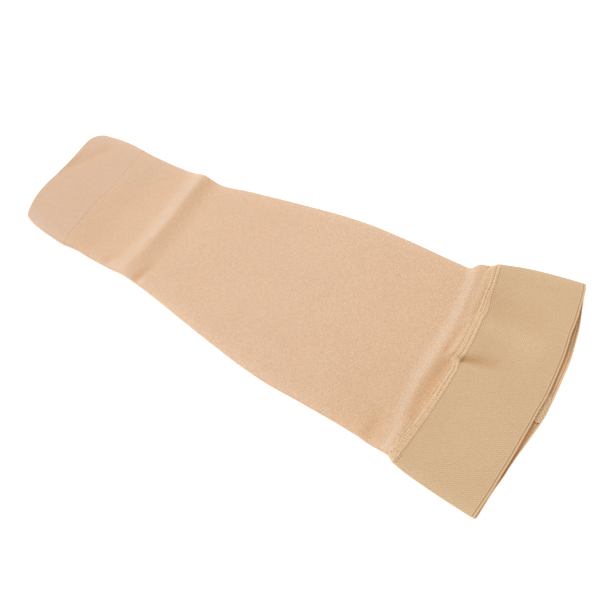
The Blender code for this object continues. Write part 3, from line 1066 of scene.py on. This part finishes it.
def rowsMesh(name, rows):
    # Each row is a list of places and outward directions along the cloth, and its stitches' size.
    points, normals, sizes = zip(*rows)
    counts = [len(row) for row in points]
    size = np.repeat(np.array(sizes, np.float32), counts)
    ends = np.cumsum(counts)
    mesh = bpy.data.meshes.new(name)
    edges = [(i - 1, i) for i in range(1, ends[-1]) if i not in ends]
    mesh.from_pydata(np.concatenate(points).tolist(), edges, [])
    facing = mesh.attributes.new("outward", "FLOAT_VECTOR", "POINT")
    facing.data.foreach_set("vector", np.concatenate(normals).astype(np.float32).ravel())
    mesh.attributes.new("size", "FLOAT", "POINT").data.foreach_set("value", size)
    return mesh


def layStitches(name, rows):
    stitch = [row for row in rowsOf(stitchColumns, stitchTable) if row["name"] == name][0]
    values = {label: stitch[label] * unit for label, unit in stitchUnits.items()}
    values["seed"] = stitch["seed"]
    values["thread"] = threads[stitch["tone"]]
    source = addPiece(name + "_rows", rowsMesh(name, rows))
    nodes = source.modifiers.new("stitches", "NODES")
    nodes.node_group = stitches
    for item in stitches.interface.items_tree:
        if item.name in values:
            nodes[item.identifier] = values[item.name]
    graph = bpy.context.evaluated_depsgraph_get()
    mesh = bpy.data.meshes.new_from_object(source.evaluated_get(graph))
    mesh.name = name
    bpy.data.objects.remove(source)
    return dress(addPiece(name, mesh))


facingReach = {"turn": 0.002, "course": 0.2}  # over which the way that the cloth faces is taken


def clothRow(course, turn, outset, size=1.0):
    # A row of stitches along the cloth: its places, the way the cloth faces there, and their size.
    aside, ahead = facingReach["turn"], facingReach["course"]
    points = clothPoints(course, turn, outset)[0]
    around = clothPoints(course, turn + aside, outset)[0] - clothPoints(course, turn - aside, outset)[0]
    along = clothPoints(course + ahead, turn, outset)[0] - clothPoints(course - ahead, turn, outset)[0]
    normals = np.cross(along, around)
    return points, normals / np.linalg.norm(normals, axis=-1, keepdims=True), size


def lapSurface(course):
    return knitProud(course) + relief(lapRelief, course) - knitThinned(course)


def upperRow(course, farY, nearY, size=1.0):
    ys = np.linspace(farY, nearY, max(round(abs(farY - nearY)), 2))
    course = np.full_like(ys, course)
    return clothRow(course, clothTurn("upper", course, ys), lapSurface(course), size)


ringTurns = (1.02, 3.98)  # round the far fold, along the lower layer and round the near fold


def ringRow(course, count, sink=0.0):
    turn = np.linspace(*ringTurns, count)
    course = np.full_like(turn, course)
    return clothRow(course, turn, lapSurface(course) - sink)


# Rows of the lap seam on the upper layer, set off from the start of the lap. Size scales a row's
# stitches. The seam was sewn in several passes, so its rows change along it.
seamColumns = ("kind", "farY", "nearY", "offset", "size")
seamRows = (
    ("slots", 64.5, 48.5, 2.8, 0.8),
    ("thread", 64.5, 48.5, 1.7, 0.8),
    ("thread", 64.5, 48.5, 4.2, 1),
    ("dots", 64.5, 48.5, 0.8, 0.7),
    ("slots", 48, 32, 0.4, 0.9),
    ("slots", 48, 32, 2.2, 0.8),
    ("dots", 48, 32, 4, 0.8),
    ("thread", 48, 32, 1.4, 1.1),
    ("thread", 48, 32, 3.2, 1),
    ("thread", 31, 19, 1.4, 0.6),
    ("pricks", 31, 19, 0.4, 0.6),
    ("slots", 18, -0.5, 3.1, 0.7),
    ("rungs", 18, -0.5, 4.5, 0.8),
    ("rungs", 18, -0.5, 1.7, 0.8),
    ("pricks", 18, -0.5, 0.4, 0.7),
    ("slots", -5, -27, 3.5, 1.05),
    ("rungs", -5, -27, 2.5, 0.8),
    ("rungs", -5, -27, 4.8, 0.8),
    ("pricks", -5, -27, 1, 0.8),
    ("ribs", -27.5, -50, 3.5, 1),
    ("slots", -27.5, -50, 2.9, 0.65),
    ("dots", -27.5, -50, 4.6, 0.9),
    ("pricks", -27.5, -50, 0.8, 0.7),
    ("ribs", -50.5, -72, 3.7, 1),
    ("slots", -50.5, -70, 2.3, 0.75),
    ("slots", -50.5, -70, 4.1, 0.75),
    ("pricks", -50.5, -60, 0.8, 0.7),
    ("slots", -68, -74, 6.4, 0.7),
)
seamRing = {  # the rest of the way round
    "offsets": {"slots": 3.3, "dots": 1.4, "rungs": 4.2, "pricks": 0.4},
    "sink": 0.15,  # the stitches lie deeper where the sleeve rests on them
    "places": 240,
}


def sewLap():
    pieces = []
    for kind in ("slots", "dots", "rungs", "ribs", "thread", "pricks"):
        rows = []
        for row in rowsOf(seamColumns, seamRows):
            if row["kind"] == kind:
                course = sleeve["lapStart"] + row["offset"]
                rows.append(upperRow(course, row["farY"], row["nearY"], row["size"]))
        if kind in seamRing["offsets"]:
            course = sleeve["lapStart"] + seamRing["offsets"][kind]
            rows.append(ringRow(course, seamRing["places"], seamRing["sink"]))
        pieces.append(layStitches("lap_" + kind, rows))
    return pieces


hem = {
    "stretches": ((41, 33), (31, 20), (16, 9), (2, -3), (-6, -37)),  # far and near ends
    "ringPlaces": 180,
}


def sewHem():
    rows = [upperRow(sleeve["hem"], farY, nearY) for farY, nearY in hem["stretches"]]
    return layStitches("hem_stitches", rows + [ringRow(sleeve["hem"], hem["ringPlaces"])])


lace = {
    "nearY": -15.3,
    "farY": 3.6,
    "rowStep": 1.25,
    "courses": (272.0, 318.4),
    "courseStep": 1.5,
}


def laceJoin():
    # Zigzag stitches hold the overlapped ends of the webbing, on the inside of the lower layer.
    rows = []
    clear = -sleeve["webbingWall"] - join["clearance"] - join["wall"]
    course = np.array(spread(*lace["courses"], lace["courseStep"]))
    for y in spread(lace["nearY"], lace["farY"], lace["rowStep"]):
        onJoin = (course < sleeve["length"] - join["fromEdge"]) & (y < join["far"] + toFrameY)
        outset = np.where(onJoin, clear, -sleeve["webbingWall"])
        points, normals, size = clothRow(course, clothTurn("under", course, y), outset)
        rows.append((points, -normals, size))
    layStitches("join_lace", rows)


camera = {
    "azimuth": 30.02,
    "elevation": 52.0,
    "lens": 66.0,
    "aim": (14.68, -6.7, 0.0),  # from below the middle of the sleeve
    "distance": 601.35,
}


def makeCamera():
    turn = math.radians(camera["azimuth"])
    rise = math.radians(camera["elevation"])
    back = Vector((math.sin(turn) * math.cos(rise), -math.cos(turn) * math.cos(rise), math.sin(rise)))
    middle = (cadLow + cadHigh) / 2
    aim = Vector((middle.x, middle.y, 0.0)) + Vector(camera["aim"]) * mm
    eye = addPiece("camera", bpy.data.cameras.new("camera"))
    eye.data.lens = camera["lens"]
    eye.data.clip_start = 0.01
    eye.data.clip_end = 20.0
    eye.location = aim + back * camera["distance"] * mm
    eye.rotation_euler = (-back).to_track_quat("-Z", "Y").to_euler()
    bpy.context.scene.camera = eye


studio = {
    "floorSize": 6.0,
    "floorColour": (0.9, 0.9, 0.9),
    "floorShade": (0.81, 0.81, 0.81),
    "floorScale": 3.0,
    "floorContrast": 0.03,
    "floorSpecular": 0.1,
    "floorRoughness": 0.7,
    "floorGlow": 0.45,  # a lit table
    "skyColour": (1.0, 1.0, 1.0),
    "skyStrength": 0.68,
    "boxes": (  # name, direction to it, distance, side and power
        ("key", (-1.1, 0.25, 1.0), 2.4, 1.35, 34.0),
        ("fill", (0.8, -0.9, 1.6), 1.8, 1.4, 1.0),
    ),
}


def makeStudio():
    size = studio["floorSize"] / 2
    mesh = bpy.data.meshes.new("floor")
    corners = [(-size, -size, 0.0), (size, -size, 0.0), (size, size, 0.0), (-size, size, 0.0)]
    mesh.from_pydata(corners, [], [(0, 1, 2, 3)])
    floor = addPiece("floor", mesh)
    bench = newBench("floor")
    shade = studio["floorContrast"] * noise(bench, studio["floorScale"], 2.0)
    colour = mixed(bench, shade, studio["floorColour"], studio["floorShade"])
    sockets = {
        "Base Color": colour,
        "Roughness": studio["floorRoughness"],
        "Specular IOR Level": studio["floorSpecular"],
        "Emission Color": (1.0, 1.0, 1.0, 1.0),
        "Emission Strength": studio["floorGlow"],
    }
    mesh.materials.append(closeShader(bench, sockets))
    sky = bpy.data.worlds.new("studio")
    sky.use_nodes = True
    glow = sky.node_tree.nodes["Background"]
    glow.inputs["Color"].default_value = (*studio["skyColour"], 1.0)
    glow.inputs["Strength"].default_value = studio["skyStrength"]
    bpy.context.scene.world = sky
    for name, toward, distance, side, power in studio["boxes"]:
        light = addPiece(name, bpy.data.lights.new(name, "AREA"))
        light.data.size = side
        light.data.energy = power
        toward = Vector(toward).normalized()
        light.location = toward * distance
        light.rotation_euler = toward.to_track_quat("Z", "Y").to_euler()
    bpy.context.scene.view_settings.view_transform = "Standard"
    bpy.context.scene.view_settings.look = "None"


makeCamera()
makeStudio()
print("camera and studio are up")

armTube = layTube("arm_tube_knit", armCloth, "arm_tube", knitFinish("arm knit", armKnit))
weltFinish = knitFinish("welt knit", weltKnit)
wristWelt = layTube("wrist_welt_knit", weltCloth, "wrist_welt", weltFinish)
bandFinish = webbingFinish("band webbing", webbing)
topBand = layTube("top_band_webbing", bandCloth, "top_band", bandFinish, grid["bandAcross"])
makeBandJoin()
print("cloth is laid")

stitches = stitchTree("stitches")
threads = {tone: threadFinish(tone) for tone in threadTones}
lapStitches = sewLap()
hemStitches = sewHem()
laceJoin()
print("seams are sewn")

declareTube(armCloth)
declareTube(weltCloth)
declareTube(bandCloth)
